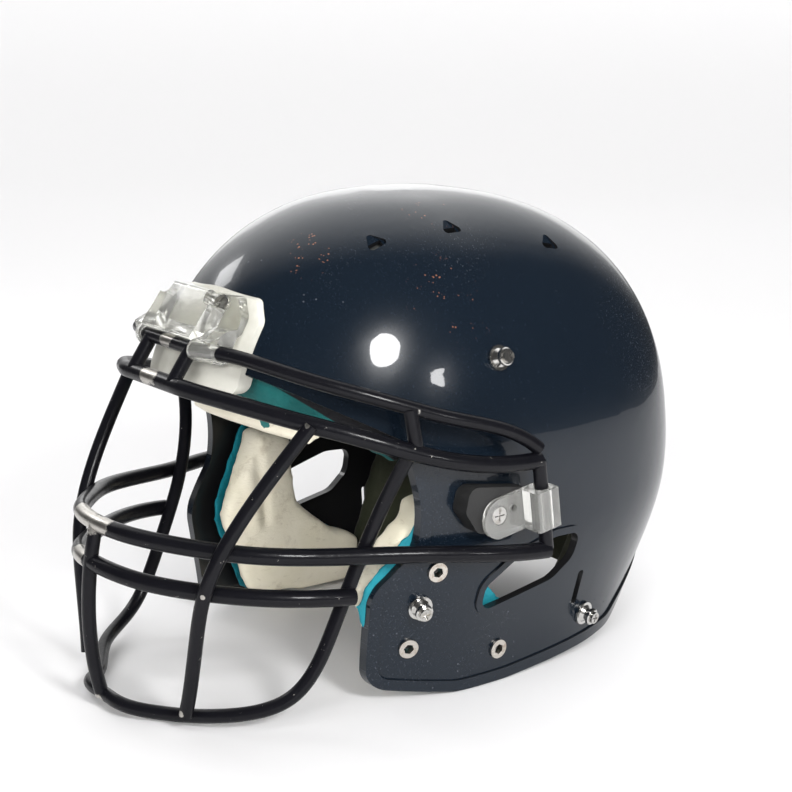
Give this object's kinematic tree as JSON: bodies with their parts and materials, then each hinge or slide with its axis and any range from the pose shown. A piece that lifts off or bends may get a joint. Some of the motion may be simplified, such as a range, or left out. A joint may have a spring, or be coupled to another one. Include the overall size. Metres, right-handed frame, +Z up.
{
  "type": "american football helmet",
  "caption": "adult football helmet: hard shell with ear windows and vents, foam lining, snap-in jaw pads, and a wire face mask that swings on brow clips",
  "frame": {"origin": "bottom centre of the overall box, level with the underside of the jaw flaps", "axes": "helmet faces -Y, +Z up, +X is the wearer's left"},
  "size_m": [0.2588, 0.367, 0.2565],
  "materials": {
    "shell_gloss": "gloss dark navy painted polycarbonate, scuffed",
    "liner_cover": "olive coated foam cushion",
    "backing_teal": "teal foam backing",
    "pad_cream": "cream coated soft foam",
    "bumper_white": "white rubbery plate",
    "clip_clear": "clear flexible plastic",
    "spacer_rubber": "black rubber",
    "hardware_steel": "plated steel",
    "insert_brass": "plated brass inserts",
    "pin_plastic": "black moulded pins",
    "mask_coat": "black powder coat, worn bright at the front"
  },
  "bodies": {
    "helmet": {"back_liner": "liner_cover", "chin_snap_screws": "hardware_steel", "chin_snap_studs": "hardware_steel", "chin_snap_washers": "hardware_steel", "crown_liner": "liner_cover", "front_clip": "clip_clear", "front_clip_loop_left": "clip_clear", "front_clip_loop_right": "clip_clear", "front_clip_screws": "hardware_steel", "front_liner": "backing_teal", "front_pad": "pad_cream", "jaw_pad_sockets": "insert_brass", "nape_pad": "liner_cover", "nose_bumper": "bumper_white", "shell": "shell_gloss", "shell_nuts": "insert_brass", "side_clip_left": "clip_clear", "side_clip_right": "clip_clear", "side_clip_screws": "hardware_steel", "side_clip_spacer_left": "spacer_rubber", "side_clip_spacer_right": "spacer_rubber", "side_liner_left": "liner_cover", "side_liner_right": "liner_cover"},
    "mask": {"mask_top_bar": "mask_coat", "mask_brow_bar": "mask_coat", "mask_upper_bar": "mask_coat", "mask_lower_bar": "mask_coat", "mask_chin_bar": "mask_coat", "mask_centre_bar": "mask_coat", "mask_slant_bar_left": "mask_coat", "mask_slant_bar_right": "mask_coat", "mask_side_bar_left": "mask_coat", "mask_side_bar_right": "mask_coat", "mask_brace_left": "mask_coat", "mask_brace_right": "mask_coat", "mask_post_left": "mask_coat", "mask_post_right": "mask_coat"},
    "jaw_pad_left": {"jaw_pad_base_left": "backing_teal", "jaw_pad_cover_left": "pad_cream", "jaw_pad_pins_left": "pin_plastic"},
    "jaw_pad_right": {"jaw_pad_base_right": "backing_teal", "jaw_pad_cover_right": "pad_cream", "jaw_pad_pins_right": "pin_plastic"}
  },
  "joints": [
    {"name": "facemask", "type": "hinge", "parent": "helmet", "child": "mask", "pos_m": [0, -0.1283, 0.1865], "axis": [-1, 0, 0], "range_deg": [0, 75], "deforming": ["side_clip_left", "side_clip_right", "front_clip_loop_left", "front_clip_loop_right"]},
    {"name": "jaw_pad_left_release", "type": "slide", "parent": "helmet", "child": "jaw_pad_left", "axis": [-1, 0, 0], "range_m": [0, 0.025]},
    {"name": "jaw_pad_right_release", "type": "slide", "parent": "helmet", "child": "jaw_pad_right", "axis": [1, 0, 0], "range_m": [0, 0.025]}
  ]
}
